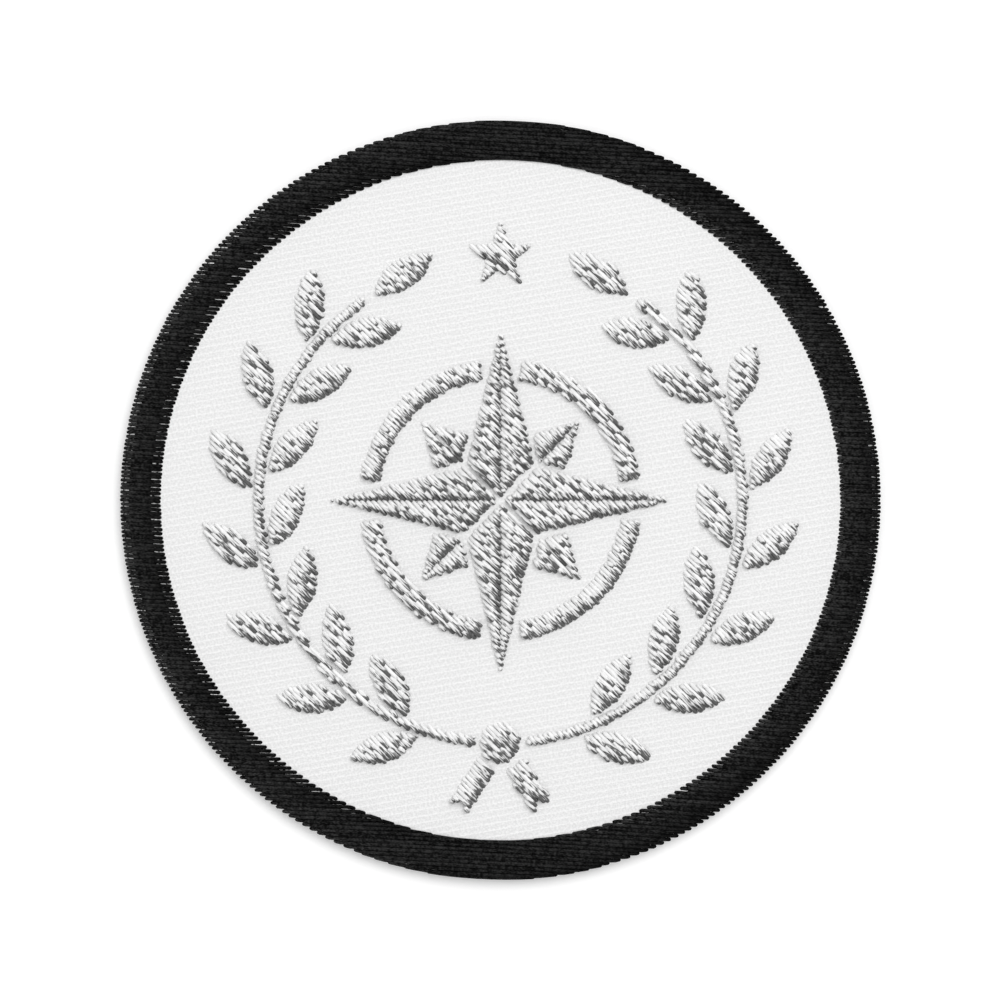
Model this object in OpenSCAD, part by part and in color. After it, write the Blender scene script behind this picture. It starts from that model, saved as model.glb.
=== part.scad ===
// Round embroidered patch, lying face up: a twill disc, an embroidered band
// round its edge, and raised embroidery of a compass star in a laurel wreath.
// Millimetres. The origin is under the middle of the patch, +Z is up out of
// the embroidered face, and +Y points to the top of the design.

/* [Patch] */
// Diameter over the tips of the edge stitches
patch_d = 76.2; // [75:0.1:102]
// Thickness of the twill with its stabiliser
base_t = 1.2; // [0.8:0.1:2]
// Width of the embroidered edge band
border_w = 4; // [3:0.1:4.8]
// Height of the edge band's crown above the twill
border_h = 0.85; // [0.5:0.05:1.2]
// Height of the band's walls above the twill, before its crown starts
border_side_h = 0.3; // [0.2:0.05:0.4]
// Thickness of the thread that turns down over the cut edge of the twill
lip_t = 0.3; // [0.2:0.05:0.5]
// Height of the lip's lower edge above the surface the patch lies on
lip_foot = 0.2; // [0.1:0.05:0.5]

/* [Raised embroidery] */
// Crown height of a filled field above the twill
fill_h = 0.75; // [0.5:0.05:1.1]
// Height of a field's walls above the twill, where the thread dives in
side_h = 0.3; // [0.2:0.05:0.4]
// Width of bare twill between neighbouring fields
field_gap = 0.45; // [0.3:0.05:0.8]

/* [Compass star] */
// Distance of the four long points from the centre
long_r = 17.6; // [15:0.1:18]
// Distance of the four short points from the centre
short_r = 11.4; // [9:0.1:11.5]
// Distance of the inner corners between the long points
corner_r = 4.9; // [4:0.1:5.5]
// Distance at which a short point's sides meet the axes of the long ones
short_root_r = 5.8; // [5:0.1:6.5]
// Middle radius of the ring behind the points
ring_r = 13.2; // [12.9:0.1:14]
// Width of the ring
ring_w = 2.1; // [1.5:0.1:2.4]

/* [Wreath] */
// Radius that both stems follow
stem_r = 24.3; // [23.5:0.1:24.6]
// Width of a stem
stem_w = 1.1; // [0.8:0.1:1.4]
// Crown height of a stem above the twill
stem_h = 0.6; // [0.4:0.05:0.8]
// Length of a leaf
leaf_l = 7.4; // [6:0.1:7.8]
// Greatest width of a leaf
leaf_w = 3.1; // [2.4:0.1:3.2]
// Angle between a leaf and its stem
leaf_tilt = 36; // [28:1:42]
// Pairs of leaves on a stem
leaf_pairs = 7; // [5:1:7]

/* [Ribbon and top star] */
// Radius of the knot where the stems meet
knot_r = 2.1; // [1.6:0.1:2.4]
// Length of a ribbon tail
tail_l = 5.6; // [4:0.1:5.8]
// Width of a ribbon tail
tail_w = 2.4; // [1.8:0.1:2.6]
// Distance of the small star's points from its middle
small_star_r = 3.7; // [2.8:0.1:4]

/* [Hidden] */
$fn = 96;
// Fineness of an arc that is much larger than the piece cut from it
wide_fn = 360;
// Clearance between pieces that lie on or against each other
seat = 0.05;
// How far a cutting shape runs past the piece that it cuts
over = 1;
edge_r = patch_d / 2;
base_r = edge_r - lip_t - seat;
floor_z = base_t + seat;
fill_t = fill_h - seat;
side_t = side_h - seat;

// Inner corner between two long points
corner = corner_r * [sin(45), cos(45)];
// Width of a field's sloping shoulder, and the most of a small field it may take
shoulder = 0.55;
most_shoulder = 0.7;

// Places along a stem, in degrees round the patch from its lowest point
stem_start = 2 * asin((knot_r + field_gap) / (2 * stem_r));
first_leaf = 19;
leaf_step = 18.4;
// Inner leaves sit this much further up the stem than their outer partners
inner_shift = 4;
stem_end = first_leaf + leaf_pairs * leaf_step - 2;
// Clearance from a leaf's foot to the side of its stem, and to the stem's end
leaf_foot = 0.25;
end_foot = 1;

// The tails fan out below the knot, whose middle lies on the stems' circle
tail_tilt = 33;
tail_start = knot_r + field_gap;
// Depth of the notch in a tail's end
tail_notch = 1.1;
// Middle of the small star, and its inner corners' distance over its points'
small_star_y = 24.6;
small_star_root = 0.42;

leaf_count = 2 * leaf_pairs + 1;
sides = ["right", "left"];
quarters = [1, 2, 3, 4];

// Radius of the circle through both ends of a chord, raised by rise midway
function arc_r(chord, rise) = (chord * chord / 4 + rise * rise) / (2 * rise);

// Point where the line through a and b meets the line through c and d
function meet(a, b, c, d) =
    let (u = b - a, v = d - c, w = c - a)
    a + u * (w.x * v.y - w.y * v.x) / (u.x * v.y - u.y * v.x);

// The line through a and b, moved sideways to its left by off
function beside(a, b, off) =
    let (u = (b - a) / norm(b - a), s = off * [-u.y, u.x])
    [a + s, b + s];

// A triangle drawn in by a shoulder of the same width all round
function drawn_in(t) =
    let (
        a = norm(t[1] - t[2]),
        b = norm(t[2] - t[0]),
        c = norm(t[0] - t[1]),
        middle = (a * t[0] + b * t[1] + c * t[2]) / (a + b + c),
        area = abs(cross(t[1] - t[0], t[2] - t[0])) / 2,
        inner_r = 2 * area / (a + b + c)
    )
    [for (p = t) middle + (p - middle) * (1 - min(shoulder / inner_r, most_shoulder))];

// A list of flat points lifted to one height
function lifted(points, z) = [for (p = points) [p.x, p.y, z]];

// Cross-section of a stitched band: low walls under a crown that is an arc
module band_section(width, wall, height) {
    crown_r = arc_r(width, height - wall);
    intersection() {
        translate([-width / 2, 0]) square([width, height]);
        translate([0, height - crown_r]) circle(crown_r);
    }
}

// A stretch of band along a circle of radius r, from the X axis on
module band_arc(r, width, wall, height, angle) {
    rotate_extrude(angle = angle)
        translate([r, 0]) band_section(width, wall, height);
}

// One arm of the star, along +Y: two crowned halves with a valley between
module split_point(root, shoulder_at, tip) {
    mirrored = [-shoulder_at.x, shoulder_at.y];
    rim = [root, shoulder_at, tip, mirrored];
    right = drawn_in([root, shoulder_at, tip]);
    left = drawn_in([root, tip, mirrored]);
    points = concat(
        lifted(rim, 0), lifted(rim, side_t),
        lifted(right, fill_t), lifted(left, fill_t)
    );
    // Points 0 to 3 are the foot, 4 to 7 the rim, 8 to 10 and 11 to 13 the crowns
    faces = [
        [0, 1, 2, 3],
        [0, 4, 5, 1], [1, 5, 6, 2], [2, 6, 7, 3], [3, 7, 4, 0],
        [4, 8, 9, 5], [5, 9, 10, 6], [6, 10, 8, 4],
        [4, 11, 12, 6], [6, 12, 13, 7], [7, 13, 11, 4],
        [8, 10, 9], [11, 13, 12]
    ];
    polyhedron(points, faces);
}

module twill_base() {
    color("white") cylinder(r = base_r, h = base_t);
}

// The edge band lies on the twill, and its outer threads turn down over the cut
module border_band() {
    color("black") rotate_extrude() {
        translate([edge_r - border_w / 2, floor_z])
            band_section(border_w, border_side_h, border_h - seat);
        translate([edge_r - lip_t, lip_foot])
            square([lip_t, floor_z + border_side_h - lip_foot]);
    }
}

module long_point(q) {
    tip = [0, long_r];
    // The side towards the next long point is drawn back by half a gap
    side = beside([0, 0], corner, field_gap / 2);
    root = meet(side[0], side[1], [0, 0], tip);
    shoulder_at = meet(side[0], side[1], corner, tip);
    color("whitesmoke") translate([0, 0, floor_z])
        rotate([0, 0, -90 * (q - 1)]) split_point(root, shoulder_at, tip);
}

module short_point(q) {
    // Seen along the short point's own axis, the long points lie 45 degrees off
    long_tip = long_r * [sin(45), cos(45)];
    root_side = short_root_r * [sin(45), cos(45)];
    tip = [0, short_r];
    side = beside([0, corner_r], long_tip, field_gap);
    root = meet(side[0], side[1], [0, 0], tip);
    shoulder_at = meet(side[0], side[1], tip, root_side);
    color("whitesmoke") translate([0, 0, floor_z])
        rotate([0, 0, -90 * (q - 1) - 45]) split_point(root, shoulder_at, tip);
}

module ring_arc(q) {
    // Where the ring passes behind a long point, it stops short of its sides
    reach = (ring_r - ring_w / 2 - corner.y) / (long_r - corner.y);
    half_width = corner.x * (1 - reach);
    stop_at = asin((half_width + field_gap) / (ring_r - ring_w / 2));
    color("whitesmoke") translate([0, 0, floor_z])
        rotate([0, 0, 90 * (1 - q) + stop_at])
            band_arc(ring_r, ring_w, side_t, fill_t, 90 - 2 * stop_at);
}

// Everything in the wreath is drawn for the right half and mirrored for the left
module on_side(side) {
    if (side == "left") mirror([1, 0, 0]) children();
    else children();
}

module stem(side) {
    color("whitesmoke") translate([0, 0, floor_z]) on_side(side)
        rotate([0, 0, stem_start - 90])
            band_arc(stem_r, stem_w, side_t, stem_h - seat, stem_end - stem_start);
}

// A satin-stitched leaf along +X from its foot, crowned along and across
module leaf_shape() {
    outline_r = arc_r(leaf_l, leaf_w / 2);
    // The crown is a slice from the top of a large ring, so it bends along the leaf
    slice = 60;
    across_r = arc_r(leaf_w, fill_t - side_t);
    along_r = arc_r(leaf_l, fill_t - side_t);
    intersection() {
        linear_extrude(fill_h) intersection() {
            translate([leaf_l / 2, leaf_w / 2 - outline_r]) circle(outline_r, $fn = wide_fn);
            translate([leaf_l / 2, outline_r - leaf_w / 2]) circle(outline_r, $fn = wide_fn);
        }
        translate([leaf_l / 2, 0, fill_t - along_r]) rotate([90, 0, 0])
            rotate_extrude(start = 90 - slice / 2, angle = slice, $fn = wide_fn)
                translate([along_r - across_r, 0]) circle(across_r);
    }
}

// Odd leaves grow outwards from the stem, even ones inwards, the last one ends it
module leaf(side, i) {
    is_end = i == leaf_count;
    is_inner = i % 2 == 0;
    pair = floor((i - 1) / 2);
    at = is_end ? stem_end : first_leaf + pair * leaf_step + (is_inner ? inner_shift : 0);
    out = is_end ? 0 : (is_inner ? -1 : 1);
    foot = out * (stem_w / 2 + leaf_foot);
    ahead = is_end ? end_foot : 0;
    color("whitesmoke") translate([0, 0, floor_z]) on_side(side)
        rotate([0, 0, at - 90]) translate([stem_r + foot, ahead])
            rotate([0, 0, 90 - out * leaf_tilt]) leaf_shape();
}

// A five-pointed star whose faces rise to a peak in the middle
module top_star() {
    root_r = small_star_r * small_star_root;
    n = 10;
    rim = [for (k = [0:n - 1])
        let (r = k % 2 == 0 ? small_star_r : root_r, a = 90 + 360 / n * k)
        r * [cos(a), sin(a)]];
    points = concat(lifted(rim, 0), lifted(rim, side_t), [[0, 0, 0], [0, 0, fill_t]]);
    heel = 2 * n;
    peak = heel + 1;
    foot = [for (k = [0:n - 1]) [k, (k + 1) % n, heel]];
    walls = [for (k = [0:n - 1]) [k, k + n, (k + 1) % n + n, (k + 1) % n]];
    roof = [for (k = [0:n - 1]) [k + n, peak, (k + 1) % n + n]];
    color("whitesmoke") translate([0, small_star_y, floor_z])
        polyhedron(points, concat(foot, walls, roof));
}

module ribbon_knot() {
    color("whitesmoke") translate([0, -stem_r, floor_z]) rotate_extrude()
        intersection() {
            band_section(2 * knot_r, side_t, fill_t);
            square([knot_r, fill_t]);
        }
}

// A ribbon tail along +X from the knot, crowned across, with a swallowtail end
module ribbon_tail(side) {
    crown_r = arc_r(tail_w, fill_t - side_t);
    color("whitesmoke") translate([0, -stem_r, floor_z]) on_side(side)
        rotate([0, 0, tail_tilt - 90]) translate([tail_start, 0]) intersection() {
            linear_extrude(fill_t) polygon([
                [0, -tail_w / 2], [tail_l, -tail_w / 2], [tail_l - tail_notch, 0],
                [tail_l, tail_w / 2], [0, tail_w / 2]
            ]);
            translate([-over, 0, fill_t - crown_r]) rotate([0, 90, 0])
                cylinder(r = crown_r, h = tail_l + 2 * over);
        }
}

twill_base();
border_band();
for (q = quarters) {
    long_point(q);
    short_point(q);
    ring_arc(q);
}
for (s = sides) {
    stem(s);
    ribbon_tail(s);
    for (i = [1:leaf_count])
        leaf(s, i);
}
top_star();
ribbon_knot();
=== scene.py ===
"""A round embroidered patch: woven twill, a thread edge, and raised embroidery sewn in slanting rows.

Everything is in metres, in the part's own frame: the patch lies face up on the floor, its middle
over the origin, the top of its design towards +Y.
"""

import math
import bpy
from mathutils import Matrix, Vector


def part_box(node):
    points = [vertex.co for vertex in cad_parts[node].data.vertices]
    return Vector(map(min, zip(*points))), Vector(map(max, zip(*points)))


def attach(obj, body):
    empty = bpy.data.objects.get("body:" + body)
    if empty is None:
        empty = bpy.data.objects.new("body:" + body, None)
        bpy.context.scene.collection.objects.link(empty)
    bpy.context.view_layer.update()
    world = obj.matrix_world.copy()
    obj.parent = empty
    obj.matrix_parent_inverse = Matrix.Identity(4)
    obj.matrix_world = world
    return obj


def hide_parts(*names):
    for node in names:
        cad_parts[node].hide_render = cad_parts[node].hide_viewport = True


bl_info = {
    "name": "Embroidered Patch",
    "version": (1, 0, 0),
    "blender": (4, 5, 0),
    "location": "View3D > Sidebar > Patch",
    "description": "Sews a round patch from threads: edge band, compass star, wreath and ribbon on twill",
    "category": "Object",
}

import bmesh
import bpy
import numpy as np
from bpy.props import FloatProperty, FloatVectorProperty, IntProperty, PointerProperty
from mathutils import Matrix, Vector
from mathutils.bvhtree import BVHTree

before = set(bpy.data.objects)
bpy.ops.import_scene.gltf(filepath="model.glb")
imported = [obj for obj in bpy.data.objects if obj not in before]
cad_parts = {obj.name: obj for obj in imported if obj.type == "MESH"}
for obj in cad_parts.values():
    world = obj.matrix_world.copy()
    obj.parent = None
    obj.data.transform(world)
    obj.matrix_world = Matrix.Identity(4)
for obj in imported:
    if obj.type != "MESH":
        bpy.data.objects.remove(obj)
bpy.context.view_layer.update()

MM = 0.001
UP = Vector((0, 0, 1))

# The patch's own sizes, read from the solids
CLOTH_LOW, CLOTH_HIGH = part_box("twill_base")
CLOTH_R = CLOTH_HIGH.x
CLOTH_TOP = CLOTH_HIGH.z
EDGE_LOW, EDGE_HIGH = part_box("border_band")
EDGE_R = EDGE_HIGH.x
EDGE_INNER_R = min(v.co.xy.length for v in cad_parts["border_band"].data.vertices)

# The edge thread was pulled least tight at the upper left
LOOSEST = Vector((-0.82, 0.57))

# The caps of the black threads are round, so the band seems narrower than its rows reach
ROUND_IN, ROUND_OUT = 0.04 * MM, 0.1 * MM
LEAST_R, MOST_R = EDGE_INNER_R - ROUND_IN, EDGE_R + ROUND_OUT

# Vertices this close together are one
SAME_SPOT = 0.001 * MM

# How far the foot of what lies on the twill is sunk into it
BURIED = 0.05 * MM

# A rib of the twill rises slowly and falls away in the last part of its width
RIB_CREST = 0.75

# The section of the band: a higher power makes its crown fuller
CROWN_POWER = 2.2

# The round cap of a thread: distances from its end in thread widths, and shares of its thickness there
CAP = ((0, 0), (0.1, 0.6), (0.45, 1))

# How a stitch arches between its ends: a higher power keeps it flat for longer before it dives
WHITE_ARCH = 2.6
BLACK_ARCH = 8.0

# Rows are counted from the middle of the patch, a part of a row off it, and their joints drift slowly
ROW_START = 0.137
ROW_DRIFT = 0.11

# How far the needle strays to any side, and how far neighbouring stitches differ in height
STRAY = 0.02 * MM
LIFT = 0.012 * MM

# Shades of single threads, from dull to bright
TONES = (-0.5, 0.5)

# Nearly all values of a noise texture lie between these two
NOISE_LOW, NOISE_HIGH = 0.3, 0.7

# Material slots of a sewn piece
THREAD, UNDERLAY, BOBBIN = range(3)

# A slit between two black rows: distances from their tips in mm, and how far they part there
SLIT_SHAPE = ((0, 0.4, 0.75, 1.1, 1.6), (0, 0.2, 1, 0.3, 0))

# What is sewn in white, step by step
STAR_FIELDS = [f"{kind}_{q}" for kind in ("ring_arc", "short_point", "long_point") for q in range(1, 5)]
WREATH_FIELDS = sorted(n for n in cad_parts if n.startswith(("stem_", "leaf_")))
RIBBON_FIELDS = ["ribbon_tail_left", "ribbon_tail_right", "ribbon_knot"]


def srgb(code):
    """A hex colour as it is seen, turned to the linear values that a shader takes."""
    parts = [int(code[i : i + 2], 16) / 255 for i in (1, 3, 5)]
    return [c / 12.92 if c <= 0.04045 else ((c + 0.055) / 1.055) ** 2.4 for c in parts]


def length(name, text, default, high=0.05):
    """A length that the user may change, in metres and shown in the scene's units."""
    return FloatProperty(
        name=name, description=text, default=default, min=0, max=high, unit="LENGTH", precision=5
    )


def angle(name, text, degrees):
    """An angle that the user may change."""
    return FloatProperty(name=name, description=text, default=math.radians(degrees), subtype="ANGLE")


def colour(name, text, code):
    """A colour that the user may change, given as it is seen."""
    return FloatVectorProperty(
        name=name, description=text, default=srgb(code), min=0, max=1, size=3, subtype="COLOR"
    )


class PatchThread(bpy.types.PropertyGroup):
    """The thread, and how the machine lays it in rows."""

    pitch: length("Row pitch", "Distance between neighbouring rows of stitches", 0.40 * MM)
    width: length("Thread width", "Width of a laid white thread, a little flattened", 0.48 * MM)
    edge_width: length("Edge thread width", "Width of a laid black thread", 0.412 * MM)
    height: length("Thread height", "Height of a laid thread", 0.15 * MM)
    ragged: length("Ragged ends", "How far a white stitch may end short of its field or past it",
                   0.16 * MM)
    edge_ragged: length("Ragged edge", "The same for the black stitches of the edge", 0.05 * MM)
    zigzag: length("Zigzag", "How far neighbouring white rows lean together at an end", 0.05 * MM)
    slit: length("Slit", "How far neighbouring black rows part just inside the band", 0.08 * MM)
    motif_heading: angle("Motif heading", "Direction in which the white rows run", -45)
    motif_longest: length("Longest motif stitch", "White rows are cut into stitches of this length",
                          3.1 * MM)
    edge_heading: angle("Edge heading", "Direction in which the black rows run", -3)
    edge_longest: length("Longest edge stitch", "The same length for the black rows", 5.0 * MM)
    seed: IntProperty(name="Seed", description="Starts the irregularities of the stitches", default=7)


class PatchCloth(bpy.types.PropertyGroup):
    """The twill that everything is sewn on."""

    rib_pitch: length("Rib pitch", "Distance between the diagonal ribs of the twill", 0.66 * MM)
    rib_heading: angle("Rib heading", "Slope at which the ribs rise to the right", 10)
    rib_depth: length("Rib depth", "Depth of the grooves between ribs", 0.03 * MM)
    float_pitch: length("Float length", "Length of one float of yarn along a rib", 0.50 * MM)


class PatchColours(bpy.types.PropertyGroup):
    """Colours of the cloth and of both threads."""

    twill: colour("Twill", "White polyester twill", "#F1F1F1")
    edge: colour("Edge thread", "Black edge thread", "#060606")
    # Painted highlight: a grey painted on the black thread where a strand catches light
    edge_painted_glint: colour("Edge thread, lit", "Black edge thread where a strand catches light", "#383838")
    motif: colour("Motif thread", "White thread where a stitch rises", "#FAFAFA")
    # Painted shade: two greys painted on the white thread where a stitch turns down
    motif_painted_half_shade: colour("Motif thread, half turned", "White thread between the two others", "#BEBEBE")
    motif_painted_shade: colour("Motif thread, turned", "White thread where a stitch turns down", "#616161")
    floor: colour("Floor", "Table that the patch lies on", "#FAFAFA")


class PatchStage(bpy.types.PropertyGroup):
    """Camera and light."""

    view_width: length("View width", "Width of the table that the camera sees", 100.4 * MM, high=1.0)
    lens: FloatProperty(name="Lens", description="Long lens, for a view without distortion", default=200)
    sky: FloatProperty(name="Sky", description="Strength of the white room round the table", default=0.66)
    key: FloatProperty(name="Key light", description="Power of the large soft light in watts", default=4.1)
    table_glow: FloatProperty(name="Table glow", description="Light from below the table", default=0.17)


SETTINGS = {
    "patch_thread": PatchThread,
    "patch_cloth": PatchCloth,
    "patch_colours": PatchColours,
    "patch_stage": PatchStage,
}


def setting(group):
    """One of the groups of settings, as the scene holds it."""
    return getattr(bpy.context.scene, group)


# Materials


def add_node(tree, kind, inputs=None, **settings):
    """Adds a shader node with its settings. An input is a plain value or another node's socket."""
    node = tree.nodes.new("ShaderNode" + kind)
    for name, value in settings.items():
        setattr(node, name, value)
    for name, value in (inputs or {}).items():
        if isinstance(value, bpy.types.NodeSocket):
            tree.links.new(value, node.inputs[name])
        else:
            node.inputs[name].default_value = value
    return node


def new_material(name):
    """An empty material with its shader, and the tree that they are in."""
    material = bpy.data.materials.new(name)
    material.use_nodes = True
    tree = material.node_tree
    return material, tree, tree.nodes["Principled BSDF"]


def twill_material():
    """Polyester twill, woven and heat-set: matt white, with a painted highlight along the crest of each
    rib.
    """
    cloth = setting("patch_cloth")
    material, tree, shader = new_material("polyester_twill_woven")
    place = add_node(tree, "TexCoord").outputs["Object"]
    turned = add_node(tree, "Mapping", {"Vector": place, "Rotation": (0, 0, -cloth.rib_heading)})
    across_by = (0, math.tau / cloth.rib_pitch, 0)
    across = add_node(tree, "VectorMath", {0: turned.outputs[0], 1: across_by}, operation="DOT_PRODUCT")
    from_crest = add_node(tree, "Math", {0: across.outputs["Value"], 1: -math.tau * RIB_CREST},
                          operation="ADD")
    crest = add_node(tree, "Math", {0: from_crest.outputs[0]}, operation="COSINE")
    # A thin line along each rib's crest: it raises the relief, and below it is painted into the colour as
    # a highlight
    line = add_node(tree, "MapRange", {"Value": crest.outputs[0], "From Min": 0.7})
    # From one rib to the next the floats of yarn shift by a third
    along_by = (math.tau / cloth.float_pitch, math.tau / cloth.rib_pitch / 3, 0)
    along = add_node(tree, "VectorMath", {0: turned.outputs[0], 1: along_by}, operation="DOT_PRODUCT")
    floats = add_node(tree, "Math", {0: along.outputs["Value"]}, operation="COSINE")
    # Single filaments are 20 microns wide: bundles of them show, as a grain of a tenth of a millimetre
    bundles = add_node(tree, "TexNoise", {"Vector": place, "Scale": 1 / (0.2 * MM), "Detail": 1.0})
    grain = add_node(tree, "MapRange", {"Value": bundles.outputs[0], "From Min": NOISE_LOW,
                                        "From Max": NOISE_HIGH})
    yarn = add_node(tree, "Math", {0: floats.outputs[0], 1: 0.08, 2: grain.outputs[0]},
                    operation="MULTIPLY_ADD")
    height = add_node(tree, "Math", {0: line.outputs[0], 1: 0.5, 2: yarn.outputs[0]},
                      operation="MULTIPLY_ADD")
    relief = add_node(tree, "Bump", {"Height": height.outputs[0], "Distance": 0.03 * MM,
                                     "Strength": 0.4})
    # Painted highlight: the cloth's white is painted lighter along each rib's crest, and also varies with
    # the floats and the grain
    shade = add_node(tree, "MapRange", {"Value": height.outputs[0], "From Min": 0.2,
                                        "From Max": 1.2, "To Min": 0.91, "To Max": 1.09})
    # The cloth was dyed in the piece, so its white varies slightly over centimetres
    patches = add_node(tree, "TexNoise", {"Vector": place, "Scale": 1 / (9 * MM), "Detail": 1.0})
    uneven = add_node(tree, "MapRange", {"Value": patches.outputs[0], "To Min": 0.985, "To Max": 1.01})
    tone = add_node(tree, "Math", {0: shade.outputs[0], 1: uneven.outputs[0]}, operation="MULTIPLY")
    dyed = add_node(tree, "VectorMath", {0: setting("patch_colours").twill, "Scale": tone.outputs[0]},
                    operation="SCALE")
    tree.links.new(dyed.outputs[0], shader.inputs["Base Color"])
    tree.links.new(relief.outputs[0], shader.inputs["Normal"])
    shader.inputs["Roughness"].default_value = 0.85
    shader.inputs["Specular IOR Level"].default_value = 0.2
    shader.inputs["Sheen Weight"].default_value = 0.15
    return material


def thread_relief(tree, strength, fibre):
    """Two strands twisted together, as a bump that winds round the thread, and its loose fibres.

    fibre is the length in millimetres over which a bundle of fibres lies on top.
    """
    # The thread's own coordinates are millimetres along it and turns round it
    ply = add_node(tree, "UVMap", uv_map="thread").outputs[0]
    # Of two strands, one crosses the top at every half twist
    full_twist = 1.1
    turn = add_node(tree, "VectorMath", {0: ply, 1: (2 * math.tau / full_twist, math.tau, 0)},
                    operation="DOT_PRODUCT")
    strands = add_node(tree, "Math", {0: turn.outputs["Value"]}, operation="COSINE")
    # Fibres are 15 microns wide: bundles of them are drawn, an eighth of a turn wide
    fine = add_node(tree, "Mapping", {"Vector": ply, "Scale": (1 / fibre, 8, 1)})
    fibres = add_node(tree, "TexNoise", {"Vector": fine.outputs[0], "Scale": 1.0, "Detail": 0.0})
    height = add_node(tree, "Math", {0: strands.outputs[0], 1: 0.25, 2: fibres.outputs[0]},
                      operation="MULTIPLY_ADD")
    relief = add_node(tree, "Bump", {"Height": height.outputs[0], "Distance": 0.03 * MM,
                                     "Strength": strength})
    return relief.outputs[0], fibres.outputs[0]


def edge_thread_material():
    """Trilobal polyester thread, dyed black and wound tight: deep black, with a few painted grey glints
    and painted light and shade along each row.
    """
    colours = setting("patch_colours")
    material, tree, shader = new_material("polyester_thread_black")
    relief, fibres = thread_relief(tree, strength=0.8, fibre=0.25)
    tone = add_node(tree, "Attribute", attribute_name="tone").outputs["Fac"]
    # Painted highlight: grey glints are painted in patches across the rows, where loose fibres catch the
    # light
    place = add_node(tree, "TexCoord").outputs["Object"]
    fluff = add_node(tree, "TexNoise", {"Vector": place, "Scale": 1 / (0.5 * MM), "Detail": 1.0})
    painted_glint_patches = add_node(tree, "Math", {0: fluff.outputs[0], 1: 0.8, 2: fibres}, operation="MULTIPLY_ADD")
    lit = add_node(tree, "Math", {0: tone, 1: 0.15, 2: painted_glint_patches.outputs[0]}, operation="MULTIPLY_ADD")
    painted_glint = add_node(tree, "MapRange", {"Value": lit.outputs[0], "From Min": 0.7, "From Max": 1.2})
    mixed = add_node(tree, "Mix", {"Factor": painted_glint.outputs[0], 6: (*colours.edge, 1),
                                   7: (*colours.edge_painted_glint, 1)}, data_type="RGBA")
    # Painted light and shade: each row is painted brighter at its left end and darker towards its right
    # end, as the rows tilt away from the lamp there
    painted_shade = add_node(tree, "Attribute", attribute_name="painted_shade").outputs["Fac"]
    level = add_node(tree, "MapRange", {"Value": painted_shade, "To Min": 1.35, "To Max": 0.2})
    dyed = add_node(tree, "VectorMath", {0: mixed.outputs[2], "Scale": level.outputs[0]},
                    operation="SCALE")
    tree.links.new(dyed.outputs[0], shader.inputs["Base Color"])
    tree.links.new(relief, shader.inputs["Normal"])
    shader.inputs["Roughness"].default_value = 0.6
    shader.inputs["Specular IOR Level"].default_value = 0.05
    return material


def motif_thread_material():
    """Trilobal polyester thread, undyed white, with painted light and shade: painted bright where a stitch
    faces the light, painted grey where it dives.
    """
    colours = setting("patch_colours")
    material, tree, shader = new_material("polyester_thread_white")
    relief, fibres = thread_relief(tree, strength=0.5, fibre=0.7)
    # Painted shade: each stitch's white is painted grey towards its lower end
    painted_shade = add_node(tree, "Attribute", attribute_name="painted_shade").outputs["Fac"]
    tone = add_node(tree, "Attribute", attribute_name="tone").outputs["Fac"]
    uneven = add_node(tree, "MapRange", {"Value": fibres, "From Min": NOISE_LOW, "From Max": NOISE_HIGH,
                                         "To Min": -0.28, "To Max": 0.28})
    turned = add_node(tree, "Math", {0: painted_shade, 1: uneven.outputs[0]}, operation="ADD")
    ramp = add_node(tree, "ValToRGB", {"Fac": turned.outputs[0]})
    ends = ramp.color_ramp.elements
    ends[0].position = 0.5
    ends[0].color = (*colours.motif, 1)
    ends[1].position = 0.8
    ends[1].color = (*colours.motif_painted_shade, 1)
    middle = ends.new(0.64)
    middle.color = (*colours.motif_painted_half_shade, 1)
    grain = add_node(tree, "Math", {0: tone, 1: 0.2, 2: fibres}, operation="MULTIPLY_ADD")
    level = add_node(tree, "MapRange", {"Value": grain.outputs[0], "From Min": NOISE_LOW,
                                        "From Max": NOISE_HIGH, "To Min": 0.88, "To Max": 1.07})
    dyed = add_node(tree, "VectorMath", {0: ramp.outputs["Color"], "Scale": level.outputs[0]},
                    operation="SCALE")
    tree.links.new(dyed.outputs[0], shader.inputs["Base Color"])
    tree.links.new(relief, shader.inputs["Normal"])
    shader.inputs["Roughness"].default_value = 0.5
    shader.inputs["Specular IOR Level"].default_value = 0.2
    return material


def underlay_material(name, code):
    """Loose underlay of the same thread: matt, because little light gets down to it."""
    material, tree, shader = new_material(name)
    place = add_node(tree, "TexCoord").outputs["Object"]
    loose = add_node(tree, "TexNoise", {"Vector": place, "Scale": 1 / (0.4 * MM), "Detail": 2.0})
    relief = add_node(tree, "Bump", {"Height": loose.outputs[0], "Distance": 0.1 * MM, "Strength": 0.6})
    level = add_node(tree, "MapRange", {"Value": loose.outputs[0], "To Min": 0.8, "To Max": 1.05})
    dyed = add_node(tree, "VectorMath", {0: srgb(code), "Scale": level.outputs[0]}, operation="SCALE")
    tree.links.new(dyed.outputs[0], shader.inputs["Base Color"])
    tree.links.new(relief.outputs[0], shader.inputs["Normal"])
    shader.inputs["Roughness"].default_value = 0.9
    shader.inputs["Specular IOR Level"].default_value = 0.1
    return material


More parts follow.
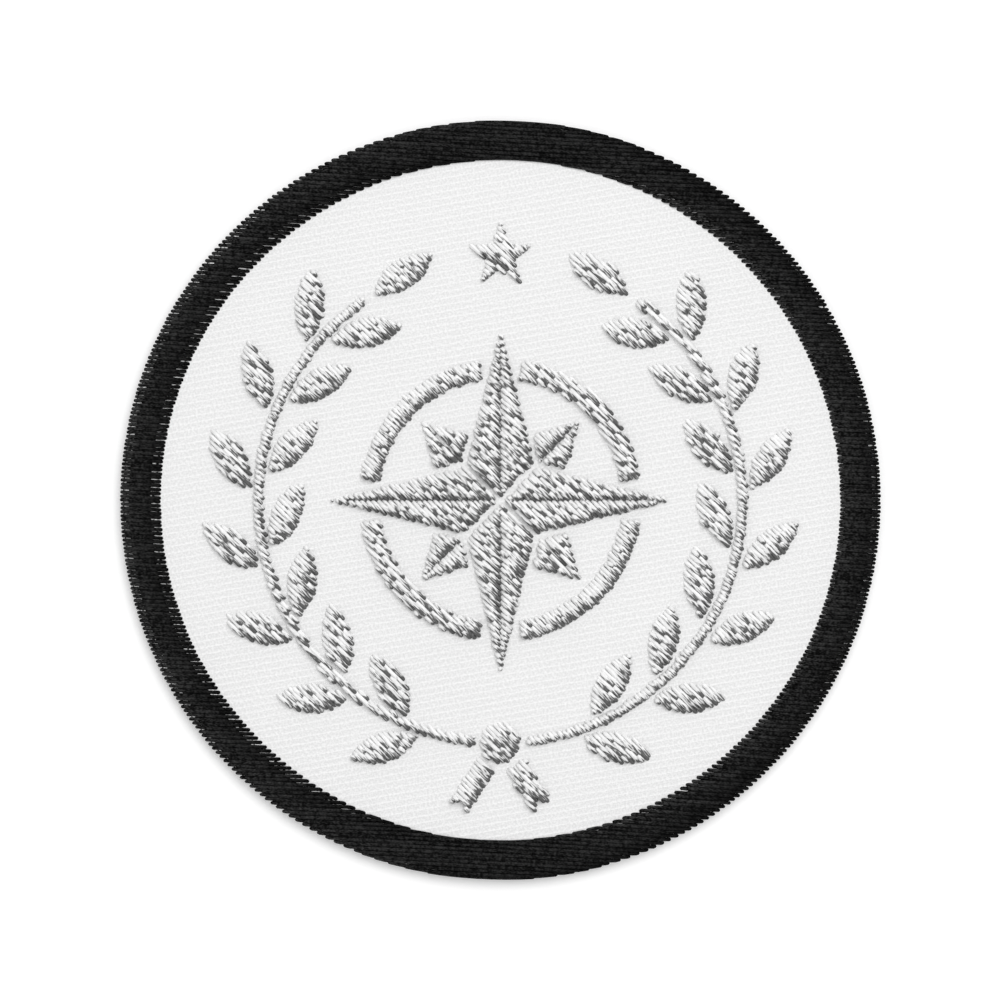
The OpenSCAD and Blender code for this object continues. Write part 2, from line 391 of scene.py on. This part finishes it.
def bobbin_material():
    """Spun polyester bobbin thread: matt white, hidden in places by black fluff from the edge thread."""
    colours = setting("patch_colours")
    material, tree, shader = new_material("polyester_bobbin_white")
    place = add_node(tree, "TexCoord").outputs["Object"]
    fluff = add_node(tree, "TexNoise", {"Vector": place, "Scale": 1 / (0.5 * MM), "Detail": 1.0})
    hidden = add_node(tree, "MapRange", {"Value": fluff.outputs[0], "From Min": 0.48, "From Max": 0.6})
    mixed = add_node(tree, "Mix", {"Factor": hidden.outputs[0], 6: (*colours.motif, 1),
                                   7: (*colours.edge, 1)}, data_type="RGBA")
    tree.links.new(mixed.outputs[2], shader.inputs["Base Color"])
    shader.inputs["Roughness"].default_value = 0.9
    shader.inputs["Specular IOR Level"].default_value = 0.1
    return material


def table_material():
    """Opal acrylic, cast and lit from below: an even white with soft shadows."""
    material, tree, shader = new_material("acrylic_opal_lit")
    white = (*setting("patch_colours").floor, 1)
    shader.inputs["Base Color"].default_value = white
    shader.inputs["Roughness"].default_value = 1.0
    shader.inputs["Specular IOR Level"].default_value = 0.0
    shader.inputs["Emission Color"].default_value = white
    shader.inputs["Emission Strength"].default_value = setting("patch_stage").table_glow
    return material


# Threads


class ThreadShape:
    """One thread as a stretched ball: where each vertex sits round it, and on which ring."""

    def __init__(self, sides, rings):
        ball = bmesh.new()
        bmesh.ops.create_uvsphere(ball, u_segments=sides, v_segments=rings, radius=1)
        spots = np.array([v.co[:] for v in ball.verts])
        self.ring = np.rint(np.arccos(np.clip(-spots[:, 2], -1, 1)) / math.pi * rings).astype(int)
        self.turn = np.arctan2(spots[:, 1], spots[:, 0]) / math.tau % 1
        self.faces = [[v.index for v in f.verts] for f in ball.faces]
        ball.free()
        self.rings = rings

    def places(self, spans, width, *bends):
        """Places of the rings along threads, from 0 to 1: a round cap at each end, bends, and between."""
        marks = np.array([*(out * width for out, _ in CAP), *bends])
        # On a short thread they draw together, and leave its middle free
        farthest = 0.45 * spans[:, None]
        near = marks * np.minimum(1, farthest / marks[-1])
        between = self.rings + 1 - 2 * len(marks)
        inner = np.linspace(0, 1, between + 2)[1:-1]
        body = near[:, -1:] + inner * (spans[:, None] - 2 * near[:, -1:])
        return np.hstack([near, body, spans[:, None] - near[:, ::-1]]) / spans[:, None]

    def girth(self):
        """Thickness at each ring: a half round at each end, and full between."""
        cap = [thick for _, thick in CAP]
        between = self.rings + 1 - 2 * len(cap)
        return np.array(cap + [1] * between + cap[::-1])[self.ring]


def thread_verts(shape, paths, lean, width, height):
    """Vertices of threads along paths, flat on the side that lean points to."""
    course = np.gradient(paths, axis=1)
    course /= np.linalg.norm(course, axis=2, keepdims=True)
    side = np.cross(np.broadcast_to(lean, course.shape), course)
    side /= np.linalg.norm(side, axis=2, keepdims=True)
    top = np.cross(course, side)
    across = shape.girth() * np.cos(math.tau * shape.turn) * width / 2
    over = shape.girth() * np.sin(math.tau * shape.turn) * height / 2
    return (
        paths[:, shape.ring]
        + side[:, shape.ring] * across[None, :, None]
        + top[:, shape.ring] * over[None, :, None]
    )


def thread_mesh(name, shape, verts, places, spans, painted_shade, tone):
    """Joins threads into one mesh with their own coordinates, the painted shade along each and the tone of
    each.
    """
    count, size = verts.shape[:2]
    faces = [[k * size + i for i in f] for k in range(count) for f in shape.faces]
    mesh = bpy.data.meshes.new(name)
    mesh.from_pydata(verts.reshape(-1, 3).tolist(), [], faces)
    mesh.shade_smooth()
    # Round the thread, the face that closes the ring runs on past a whole turn
    corners = [i for f in shape.faces for i in f]
    half_turn = 0.5
    around = []
    for face in shape.faces:
        turns = [shape.turn[i] for i in face]
        closes = max(turns) - min(turns) > half_turn
        around += [t + 1 if closes and t < half_turn else t for t in turns]
    coords = np.empty((count, len(corners), 2))
    # Each thread starts somewhere else on the reel, in mm, so no two look the same
    reel_length = 40
    start = reel_length * (tone[:, None] - TONES[0])
    coords[:, :, 0] = start + (places * spans[:, None] / MM)[:, shape.ring[corners]]
    coords[:, :, 1] = around
    layer = mesh.uv_layers.new(name="thread")
    layer.data.foreach_set("uv", coords.ravel())
    for title, values in (("painted_shade", painted_shade), ("tone", np.repeat(tone[:, None], size, axis=1))):
        mesh.attributes.new(title, "FLOAT", "POINT").data.foreach_set("value", values.ravel())
    return mesh


def joined_mesh(name, parts):
    """One mesh of several, which then go."""
    bm = bmesh.new()
    for part in parts:
        bm.from_mesh(part)
        bpy.data.meshes.remove(part)
    mesh = bpy.data.meshes.new(name)
    bm.to_mesh(mesh)
    bm.free()
    return mesh


def solid_copy(node):
    """A merged copy of a CAD node's mesh, to measure or to cut from."""
    bm = bmesh.new()
    bm.from_mesh(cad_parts[node].data)
    bmesh.ops.remove_doubles(bm, verts=bm.verts, dist=SAME_SPOT)
    bm.normal_update()
    return bm


def foot_outline(bm):
    """The edges round a solid's flat foot, as pairs of flat points."""
    low = min(v.co.z for v in bm.verts)
    unevenness = 0.01 * MM

    def in_foot(face):
        looks_down = face.normal.z < -0.9
        return looks_down and face.calc_center_median().z - low < unevenness

    rim = [e for e in bm.edges if sum(in_foot(f) for f in e.link_faces) == 1]
    return np.array([[v.co.xy[:] for v in e.verts] for e in rim])


def circle_outline(*radii):
    """The same for the circles of a round band."""
    sides = 720
    bm = bmesh.new()
    for radius in radii:
        bmesh.ops.create_circle(bm, segments=sides, radius=radius)
    outline = np.array([[v.co.xy[:] for v in e.verts] for e in bm.edges])
    bm.free()
    return outline


def cross(a, b):
    """Cross product of two flat vectors."""
    return a[0] * b[1] - a[1] * b[0]


def straight_cuts(outline, heading, offset):
    """Where a straight line meets a field: the start and end of each stretch, measured along it."""
    along = np.array([math.cos(heading), math.sin(heading)])
    across = np.array([-along[1], along[0]])
    a, b = outline[:, 0], outline[:, 1]
    side_a, side_b = a @ across - offset, b @ across - offset
    cut = side_a * side_b < 0
    share = side_a[cut] / (side_a[cut] - side_b[cut])
    places = np.sort((a[cut] + share[:, None] * (b[cut] - a[cut])) @ along)
    return list(zip(places[::2], places[1::2]))


def row_spans(outline, heading, offset, half_width, follow):
    """Stretches of a row that lie in a field up to half_width on each side of the row's middle.

    With follow, a row ends where its middle meets the outline, and runs on where the outline is
    nearly level with it.
    """
    spans = straight_cuts(outline, heading, offset)
    for nudge in (-half_width, half_width):
        edge = straight_cuts(outline, heading, offset + nudge)
        meeting = [(a, b, c, d) for a, b in spans for c, d in edge if max(a, c) < min(b, d)]
        if follow:
            # The outline is nearly level where it takes this long to cross half the row's width
            far = 3 * half_width
            longer = [(c if a - c > far else a, d if d - b > far else b) for a, b, c, d in meeting]
            spans = joined_spans(longer or spans)
        else:
            spans = [(max(a, c), min(b, d)) for a, b, c, d in meeting]
    return spans


def joined_spans(spans):
    """Joins stretches that overlap."""
    joined = []
    for start, end in sorted(spans):
        if joined and start <= joined[-1][1]:
            start, end = joined[-1][0], max(end, joined.pop()[1])
        joined.append((start, end))
    return joined


def needle_points(start, end, longest, phase):
    """Cuts a stretch of a row into stitches whose joints are staggered by the row's phase."""
    shortest = 0.3 * longest
    points = [start]
    place = (math.floor(start / longest - phase) + 1 + phase) * longest
    while place < end:
        if place - points[-1] > shortest and end - place > shortest:
            points.append(place)
        place += longest
    return points + [end]


def row_points(first, last, middle, least, longest, phase):
    """Where the needle goes down along a row: at its ends, between them, and at a middle clear of both."""
    stops = [first, last]
    if middle is not None and first + least < middle < last - least:
        stops = [first, middle, last]
    points = [first]
    for start, end in zip(stops, stops[1:]):
        points += needle_points(start, end, longest, phase)[1:]
    return points


def sew_rows(outline, heading, longest, width, rng, inside=0.12, divide=None, follow=False, ragged=0.0,
             zigzag=0.0, overlap=0.0):
    """Stitches that fill an outline: their two ends, whether each end is on the outline, and rows.

    Neighbours lean together at one end and apart at the other, as the needle zigzags. inside is the
    share of a thread's width that has to lie in the outline on each side of its middle. divide is
    the flat direction of a line through the middle of the patch on which stitches also meet.
    With follow, a row runs on where the outline is nearly level with it. overlap is how far each
    stitch runs past the point where it meets the next.
    """
    pitch = setting("patch_thread").pitch
    along = np.array([math.cos(heading), math.sin(heading)])
    across = np.array([-along[1], along[0]])
    reach = outline.reshape(-1, 2) @ across
    shortest = 0.8 * width
    middle = None
    starts, ends, on_rim, rows = [], [], [], []
    for row in range(math.floor(reach.min() / pitch), math.ceil(reach.max() / pitch) + 1):
        offset = (row + ROW_START) * pitch
        lean = zigzag * (1 if row % 2 else -1)
        # Every second row is staggered by half a stitch, and all drift slowly
        phase = (row / 2 + ROW_DRIFT * math.sin(row)) % 1
        if divide is not None:
            middle = -offset * cross(divide, across) / cross(divide, along)
        for first, last in row_spans(outline, heading, offset, inside * width, follow):
            if last - first < shortest:
                continue
            points = row_points(first, last, middle, width, longest, phase)
            for k, (a, b) in enumerate(zip(points, points[1:])):
                rims = (k == 0, k == len(points) - 2)
                shares = [2 * (p - first) / (last - first) - 1 for p in (a, b)]
                a += rng.normal(0, ragged / 2) - (0 if rims[0] else overlap)
                b += rng.normal(0, ragged / 2) + (0 if rims[1] else overlap)
                stray = rng.normal(0, STRAY, 2)
                starts.append(along * a + across * (offset - lean * shares[0] + stray[0]))
                ends.append(along * b + across * (offset - lean * shares[1] + stray[1]))
                on_rim.append(rims)
                rows.append(row)
    return np.array(starts), np.array(ends), np.array(on_rim), np.array(rows)


def crown_heights(solid, spots, fallback):
    """Height of a solid's crown over flat points, or fallback beside it."""
    sky = 10 * MM
    flat = spots.reshape(-1, 2)
    hits = [solid.ray_cast(Vector((x, y, sky)), -UP)[0] for x, y in flat]
    found = np.array([hit.z if hit else fallback for hit in hits])
    return found.reshape(spots.shape[:2])


def stitch_paths(places, starts, ends, on_rim, solid, dips, power, rng, fit=None):
    """Centre lines of stitches: out of the cloth, over the crown of the solid, and down again.

    dips are how far a stitch's two ends sink where it meets others inside its field, power is that
    of its arch, and fit moves flat points that would leave the field.
    """
    thread = setting("patch_thread")
    count = len(starts)
    flat = starts[:, None] + (ends - starts)[:, None] * places[:, :, None]
    if fit:
        flat = fit(flat)
    top = crown_heights(solid, flat, CLOTH_TOP + thread.height)
    rim_z = CLOTH_TOP - 0.03 * MM
    low = np.where(on_rim, rim_z, top[:, [0, -1]] - thread.height / 2 - np.array(dips))
    lift = rng.normal(0, LIFT, count) + LIFT * (-1) ** np.arange(count)
    arch = 1 - np.abs(2 * places - 1) ** power
    base = low[:, :1] * (1 - places) + low[:, 1:] * places
    crown = np.minimum(top - thread.height / 2 + lift[:, None], top.max() - thread.height / 2)
    return np.dstack([flat, base * (1 - arch) + crown * arch])


def finished(mesh, materials, node):
    """A piece with its materials, riding on the patch in place of a CAD node."""
    piece = bpy.data.objects.new(mesh.name, mesh)
    bpy.context.scene.collection.objects.link(piece)
    for material in materials:
        mesh.materials.append(material)
    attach(piece, "root")
    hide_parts(node)
    return piece


def rim_distances(spots, outline):
    """Distance of flat points from the nearest edge of an outline."""
    start, course = outline[:, 0], outline[:, 1] - outline[:, 0]
    from_start = spots[:, None] - start
    share = (from_start * course).sum(axis=2) / (course**2).sum(axis=1)
    return np.linalg.norm(from_start - share.clip(0, 1)[:, :, None] * course, axis=2).min(axis=1)


def underlay_mesh(name, bm, outline, share):
    """The loose stitches under a field: the solid's roof, lowered, and sunk in the cloth near its rim."""
    foot_and_walls = [f for f in bm.faces if f.normal.z < 0.1]
    bmesh.ops.delete(bm, geom=foot_and_walls, context="FACES")
    bmesh.ops.dissolve_degenerate(bm, edges=bm.edges, dist=0.01 * MM)
    eaves = min(v.co.z for v in bm.verts)
    for face in bm.faces:
        face.material_index = UNDERLAY
        face.smooth = True
    inside = rim_distances(np.array([v.co.xy[:] for v in bm.verts]), outline)
    # It rises between these distances from the rim, in millimetres
    sunk_to, full_from = 0.45, 0.95
    rise = np.interp(inside / MM, (sunk_to, full_from), (0, share))
    for v, part in zip(bm.verts, rise):
        v.co.z = CLOTH_TOP - BURIED + max(v.co.z - eaves, 0) * part
    mesh = bpy.data.meshes.new(name)
    bm.to_mesh(mesh)
    return mesh


def tightly_sewn(co):
    """How tightly the rows of the band lie at a place, from 0 at the loosest side to 1 opposite."""
    return min(max(0.5 - LOOSEST.dot(co.xy) / co.xy.length, 0), 1)


def band_crown(out):
    """Height of the band over the twill, at a distance from its inner edge."""
    from_middle = abs(2 * out / (EDGE_R - EDGE_INNER_R) - 1)
    return (EDGE_HIGH.z - CLOTH_TOP) * (1 - min(from_middle, 1) ** CROWN_POWER)


def turned_ring(name, first, last, lower, slot, shift=None):
    """A ring with the band's crown from one distance to another, lowered, as turned on a lathe.

    Both distances are from the band's inner edge, and slot is the material's. shift then moves
    each vertex, and is told how level the rows are there, from 0 to 1.
    """
    crown_points, steps = 9, 180
    outs = np.linspace(first, last, crown_points)
    crown = [(out, max(band_crown(out) - lower, 0)) for out in outs]
    section = [(first, -BURIED), *crown, (last, -BURIED)]
    bm = bmesh.new()
    verts = [bm.verts.new((EDGE_INNER_R + out, 0, CLOTH_TOP + z)) for out, z in section]
    edges = [bm.edges.new(pair) for pair in zip(verts, verts[1:] + verts[:1])]
    bmesh.ops.spin(bm, geom=verts + edges, axis=UP, angle=math.tau, steps=steps, use_merge=True)
    bmesh.ops.recalc_face_normals(bm, faces=bm.faces)
    if shift:
        for v in bm.verts:
            shift(v.co, abs(v.co.y) / v.co.xy.length)
    for face in bm.faces:
        face.material_index = slot
        face.smooth = True
    mesh = bpy.data.meshes.new(name)
    bm.to_mesh(mesh)
    bm.free()
    return mesh


def sew_field(node, rng, longest=None, divide=None):
    """Embroiders one white field over the solid that holds its shape."""
    thread = setting("patch_thread")
    bm = solid_copy(node)
    solid = BVHTree.FromBMesh(bm)
    outline = foot_outline(bm)
    starts, ends, on_rim, _ = sew_rows(
        outline, thread.motif_heading, longest or thread.motif_longest, thread.width, rng,
        divide=divide, ragged=thread.ragged, zigzag=thread.zigzag, overlap=0.06 * MM
    )
    shape = ThreadShape(sides=6, rings=8)
    spans = np.linalg.norm(ends - starts, axis=1)
    places = shape.places(spans, thread.width)
    # A stitch comes up from under the end of the one before it
    dips = (1.3 * thread.height, 0.4 * thread.height)
    paths = stitch_paths(places, starts, ends, on_rim, solid, dips, WHITE_ARCH, rng)
    verts = thread_verts(shape, paths, UP, thread.width, thread.height)
    tone = rng.uniform(*TONES, len(starts))
    # Painted shade: a stitch is painted grey towards its lower end, and first on its side away from the
    # light
    lee_painted_shade = -0.2 * np.cos(math.tau * shape.turn)[None] * shape.girth()
    painted_shade = places[:, shape.ring] + lee_painted_shade + rng.uniform(-0.15, 0.15, (len(starts), 1))
    threads = thread_mesh(node + "_threads", shape, verts, places, spans, painted_shade, tone)
    underlay = underlay_mesh(node + "_underlay", bm, outline, share=0.9)
    bm.free()
    materials = [bpy.data.materials["polyester_thread_white"], bpy.data.materials["underlay_white"]]
    return finished(joined_mesh("sewn_" + node, (threads, underlay)), materials, node)


def white_materials():
    """Makes the materials of the white embroidery once, for all its fields."""
    if "polyester_thread_white" not in bpy.data.materials:
        motif_thread_material()
        underlay_material("underlay_white", "#F2F2F2")


def sew_fields(nodes, **options):
    """Embroiders several white fields, each with its own steady irregularities."""
    white_materials()
    for node in nodes:
        index = sorted(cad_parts).index(node)
        rng = np.random.default_rng(setting("patch_thread").seed * 1000 + index)
        sew_field(node, rng, **options)


# Operators


class PATCH_OT_weave_twill(bpy.types.Operator):
    """Weaves the round of white twill with its diagonal ribs"""

    bl_idname = "patch.weave_twill"
    bl_label = "Weave Twill"

    def execute(self, context):
        cloth = context.scene.patch_cloth
        rows_per_rib, columns = 8, 44
        rows = round(2 * CLOTH_R / cloth.rib_pitch * rows_per_rib)
        bm = bmesh.new()
        bmesh.ops.create_grid(bm, x_segments=columns, y_segments=rows, size=1)
        # Each row of the square is drawn in to the width of the disc at its height
        for v in bm.verts:
            y = v.co.y * CLOTH_R
            v.co.x *= math.sqrt(max(CLOTH_R**2 - y**2, 0))
            v.co.y = y
            place = y / cloth.rib_pitch % 1
            rise = min(place / RIB_CREST, (1 - place) / (1 - RIB_CREST))
            v.co.z = CLOTH_TOP - cloth.rib_depth * (1 - rise)
        bmesh.ops.remove_doubles(bm, verts=bm.verts, dist=SAME_SPOT)
        rim = [e for e in bm.edges if e.is_boundary]
        made = bmesh.ops.extrude_edge_only(bm, edges=rim)["geom"]
        foot = [v for v in made if isinstance(v, bmesh.types.BMVert)]
        for v in foot:
            v.co.z = CLOTH_LOW.z
        bmesh.ops.contextual_create(bm, geom=[e for e in bm.edges if e.is_boundary])
        bmesh.ops.recalc_face_normals(bm, faces=bm.faces)
        bmesh.ops.rotate(bm, verts=bm.verts, matrix=Matrix.Rotation(cloth.rib_heading, 3, "Z"))
        for face in bm.faces:
            face.smooth = face.normal.z > 0.5
        mesh = bpy.data.meshes.new("twill_cloth")
        bm.to_mesh(mesh)
        bm.free()
        twill = finished(mesh, [twill_material()], "twill_base")
        return {"FINISHED"}


class BandFit:
    """Fits the black rows to the band: parts pairs of them near its edges, and trims all to its rims."""

    def __init__(self, side, on_rim, rows, rng):
        self.side = side
        self.on_rim = on_rim
        slit = setting("patch_thread").slit
        self.part = slit / 2 * (-1.0) ** rows * rng.uniform(0.1, 1.3, len(rows))
        # At the outer edge few rows part, but those do so as far as at the inner edge
        self.rare = 3 * rng.random(len(rows)) ** 6
        # Each row parts over its own share of the usual length
        self.stretch = rng.uniform(0.6, 1.3, (len(rows), 1))

    def parted(self, flat, end, sign):
        """Rows moved apart in pairs just inside the band at one of their ends, but not at their tips."""
        tip = flat[:, end]
        tip_r = np.linalg.norm(tip, axis=1)
        away = np.linalg.norm(flat - tip[:, None], axis=2)
        swell = np.interp(away / MM / self.stretch, *SLIT_SHAPE)
        # Rows that are level with a rim don't part, and the others most where they are loosest
        steep = 1 - ((self.side * tip).sum(axis=1) / tip_r) ** 4
        slack = (0.5 + 0.5 * tip @ np.array(LOOSEST) / tip_r) ** 3
        pull = np.where(tip_r < (LEAST_R + MOST_R) / 2, slack, self.rare)
        swell *= (sign * self.part * pull * self.on_rim[:, end] * steep)[:, None]
        return flat + self.side[:, None] * swell[:, :, None]

    def trimmed(self, flat):
        """Rows held in the band: half their width inside where they run along a rim, else ending on it."""
        radius = np.linalg.norm(flat, axis=2, keepdims=True)
        level = np.abs((self.side[:, None] * flat / radius).sum(axis=2, keepdims=True))
        # The factors here make the band look equally wide all round
        cap = CAP[-1][0]
        corner = setting("patch_thread").edge_width * (0.5 * level - cap * np.sqrt(1 - level**2)).clip(0)
        least = LEAST_R + 1.25 * corner + 2 * ROUND_IN * level**2
        inside = radius.clip(least, MOST_R - corner - ROUND_OUT * level**2)
        # A fifth of what reached over stays, so that the rims are a little uneven
        return flat / radius * (inside + 0.2 * (radius - inside))

    def __call__(self, flat):
        # A row parts from one neighbour at its left end and from the other at its right end
        for end, sign in ((0, 1), (-1, -1)):
            flat = self.parted(flat, end, sign)
        return self.trimmed(flat)


class PATCH_OT_sew_edge(bpy.types.Operator):
    """Sews the black band round the edge, and the threads that wrap the cut edge of the twill"""

    bl_idname = "patch.sew_edge"
    bl_label = "Sew Edge Band"

    def execute(self, context):
        thread = context.scene.patch_thread
        rng = np.random.default_rng(thread.seed)
        band = self.row_threads(thread, rng)
        wrap = self.wrap_threads(thread, rng)
        under = thread.height + 0.03 * MM
        mesh = joined_mesh("edge_band", (band, wrap, self.padding(under), *self.bobbin_rings(under)))
        materials = [
            edge_thread_material(),
            underlay_material("underlay_black", "#0E0E0E"),
            bobbin_material(),
        ]
        finished(mesh, materials, "border_band")
        return {"FINISHED"}

    def crown_solid(self):
        """The band's smooth crown, to lay the rows on."""
        bed = turned_ring("bed", 0, EDGE_R - EDGE_INNER_R, lower=0, slot=THREAD)
        bm = bmesh.new()
        bm.from_mesh(bed)
        solid = BVHTree.FromBMesh(bm)
        bm.free()
        bpy.data.meshes.remove(bed)
        return solid

    def row_threads(self, thread, rng):
        """The rows of black thread that run across the band, all in one direction."""
        width = thread.edge_width
        starts, ends, on_rim, rows = sew_rows(
            circle_outline(LEAST_R, MOST_R), thread.edge_heading, thread.edge_longest, width, rng,
            inside=0.35, follow=True, ragged=thread.edge_ragged, overlap=0.15 * MM
        )
        shape = ThreadShape(sides=6, rings=12)
        spans = np.linalg.norm(ends - starts, axis=1)
        places = shape.places(spans, width, 0.4 * MM, 0.75 * MM, 1.2 * MM)
        course = (ends - starts) / spans[:, None]
        side = np.stack([-course[:, 1], course[:, 0]], axis=1)
        fit = BandFit(side, on_rim, rows, rng)
        solid = self.crown_solid()
        dips = (0.15 * thread.height, 0.15 * thread.height)
        paths = stitch_paths(places, starts, ends, on_rim, solid, dips, BLACK_ARCH, rng, fit)
        verts = thread_verts(shape, paths, UP, width, thread.height)
        tone = rng.uniform(*TONES, len(starts))
        # Painted shade: a row is painted darker from its left end to its right end
        left = np.where(on_rim[:, 0], 0, 0.5)[:, None]
        right = np.where(on_rim[:, 1], 1, 0.5)[:, None]
        painted_shade = left + (right - left) * places[:, shape.ring]
        return thread_mesh("edge_rows", shape, verts, places, spans, painted_shade, tone)

    def wrap_threads(self, thread, rng):
        """Short upright threads round the cut edge, bending in a little at their top."""
        shape = ThreadShape(sides=6, rings=6)
        thickness = 0.18 * MM
        wrap_r = CLOTH_R + 0.11 * MM
        count = round(math.tau * wrap_r / thread.pitch)
        around = math.tau * np.arange(count) / count
        out = np.stack([np.cos(around), np.sin(around), np.zeros(count)], axis=1)
        low, high = EDGE_LOW.z + 0.02 * MM, CLOTH_TOP + 0.12 * MM
        spans = np.full(count, high - low)
        places = shape.places(spans, thread.width)
        bend = 0.08 * MM * places[:, :, None] ** 5
        paths = out[:, None] * (wrap_r - bend)
        paths[:, :, 2] = low + (high - low) * places + rng.normal(0, STRAY, (count, 1))
        verts = thread_verts(shape, paths, out[:, None], thread.width, thickness)
        tone = rng.uniform(*TONES, count)
        return thread_mesh("edge_wrap", shape, verts, places, spans, np.zeros(verts.shape[:2]), tone)

    def padding(self, lower):
        """The padding under the band, wider where the rows run along its edges or lie tightly."""

        def widen(co, level):
            # 0 at the band's outer edge and 1 at its inner one
            share = (EDGE_R - co.xy.length) / (EDGE_R - EDGE_INNER_R)
            inwards = MM * share * max(1.1 * level**8, 0.6 * tightly_sewn(co))
            outwards = 0.5 * MM * (1 - share) * min(max(4 * level - 2, 0), 1)
            co.xy *= 1 + (outwards - inwards) / co.xy.length
            crown = band_crown(co.xy.length - EDGE_INNER_R) - lower
            co.z = min(co.z, CLOTH_TOP + max(crown, -BURIED))

        return turned_ring("edge_padding", 0.95 * MM, 3.3 * MM, lower, UNDERLAY, widen)

    def bobbin_rings(self, lower):
        """White bobbin thread that shows between the black rows near both edges of the band.

        It lies deeper at the top and bottom and on the tightly sewn side, where the rows hide it.
        """
        inner = (0.4 * MM, 1.0 * MM, lower)
        outer = (3.2 * MM, 3.7 * MM, lower - 0.02 * MM)

        def sink(co, level):
            co.z -= MM * max(0, level - 0.75, 0.15 * tightly_sewn(co))

        return [turned_ring("bobbin_ring", *reach, BOBBIN, sink) for reach in (inner, outer)]


class PATCH_OT_sew_star(bpy.types.Operator):
    """Sews the compass star: its ring, and its points in two halves each"""

    bl_idname = "patch.sew_star"
    bl_label = "Sew Compass Star"

    def execute(self, context):
        for node in STAR_FIELDS:
            if "point" not in node:
                sew_fields([node])
                continue
            low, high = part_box(node)
            middle = (low + high) / 2
            sew_fields([node], divide=np.array(middle.xy.normalized()))
        return {"FINISHED"}


class PATCH_OT_sew_wreath(bpy.types.Operator):
    """Sews the two stems and the leaves of the wreath"""

    bl_idname = "patch.sew_wreath"
    bl_label = "Sew Wreath"

    def execute(self, context):
        sew_fields(WREATH_FIELDS, longest=3.3 * MM)
        return {"FINISHED"}


class PATCH_OT_sew_ribbon(bpy.types.Operator):
    """Sews the knot and the two tails of the ribbon"""

    bl_idname = "patch.sew_ribbon"
    bl_label = "Sew Ribbon"

    def execute(self, context):
        sew_fields(RIBBON_FIELDS, longest=4.4 * MM)
        return {"FINISHED"}


class PATCH_OT_sew_small_star(bpy.types.Operator):
    """Sews the small star at the top of the design"""

    bl_idname = "patch.sew_small_star"
    bl_label = "Sew Small Star"

    def execute(self, context):
        sew_fields(["top_star"])
        return {"FINISHED"}


class PATCH_OT_set_stage(bpy.types.Operator):
    """Sets up the white table, the soft light and the camera straight above"""

    bl_idname = "patch.set_stage"
    bl_label = "Set Stage"

    def execute(self, context):
        scene = context.scene
        stage = scene.patch_stage
        table_half, photo_pixels = 2.0, 1000
        bm = bmesh.new()
        bmesh.ops.create_grid(bm, x_segments=1, y_segments=1, size=table_half)
        # A hair below the patch, so that the two faces never lie in one plane
        bmesh.ops.translate(bm, verts=bm.verts, vec=(0, 0, -0.01 * MM))
        mesh = bpy.data.meshes.new("table")
        bm.to_mesh(mesh)
        bm.free()
        table = bpy.data.objects.new("table", mesh)
        scene.collection.objects.link(table)
        mesh.materials.append(table_material())

        world = bpy.data.worlds.new("room")
        scene.world = world
        world.use_nodes = True
        world.node_tree.nodes["Background"].inputs["Color"].default_value = (1, 1, 1, 1)
        world.node_tree.nodes["Background"].inputs["Strength"].default_value = stage.sky

        # A large soft box over the far side of the table, a little to the right
        lamp = bpy.data.lights.new("key", "AREA")
        lamp.shape = "DISK"
        lamp.size = 0.8
        lamp.energy = stage.key
        key = bpy.data.objects.new("key", lamp)
        key.location = (0.2, 0.4, 0.8)
        key.rotation_euler = (-key.location).to_track_quat("-Z", "Y").to_euler()
        scene.collection.objects.link(key)

        camera = bpy.data.cameras.new("camera")
        camera.lens = stage.lens
        camera.sensor_width = 36
        view = bpy.data.objects.new("camera", camera)
        away = stage.view_width * stage.lens / camera.sensor_width
        # The patch sits half a pixel right and a quarter of a pixel down of the picture's middle
        pixel = stage.view_width / photo_pixels
        view.location = (-pixel / 2, pixel / 4, CLOTH_TOP + away)
        camera.clip_start = 0.01
        camera.clip_end = 10
        scene.collection.objects.link(view)
        scene.camera = view
        scene.view_settings.view_transform = "Standard"
        scene.view_settings.look = "None"
        return {"FINISHED"}


OPERATORS = [
    PATCH_OT_set_stage,
    PATCH_OT_weave_twill,
    PATCH_OT_sew_edge,
    PATCH_OT_sew_star,
    PATCH_OT_sew_wreath,
    PATCH_OT_sew_ribbon,
    PATCH_OT_sew_small_star,
]


class PATCH_PT_sidebar(bpy.types.Panel):
    """The steps of the patch in order, and its settings"""

    bl_label = "Embroidered Patch"
    bl_idname = "PATCH_PT_sidebar"
    bl_space_type = "VIEW_3D"
    bl_region_type = "UI"
    bl_category = "Patch"

    def draw(self, context):
        for step in OPERATORS:
            self.layout.operator(step.bl_idname)
        for name, group in SETTINGS.items():
            box = self.layout.box()
            box.label(text=group.__doc__.strip())
            for field in group.__annotations__:
                box.prop(getattr(context.scene, name), field)


def register():
    """Makes the settings, steps and panel known."""
    for kind in [*SETTINGS.values(), *OPERATORS, PATCH_PT_sidebar]:
        bpy.utils.register_class(kind)
    for name, group in SETTINGS.items():
        setattr(bpy.types.Scene, name, PointerProperty(type=group))


def unregister():
    """Takes them away again."""
    for name in SETTINGS:
        delattr(bpy.types.Scene, name)
    for kind in reversed([*SETTINGS.values(), *OPERATORS, PATCH_PT_sidebar]):
        bpy.utils.unregister_class(kind)


def main():
    """Runs every step in order."""
    register()
    for step in OPERATORS:
        category, name = step.bl_idname.split(".")
        getattr(getattr(bpy.ops, category), name)()


if __name__ == "__main__":
    main()
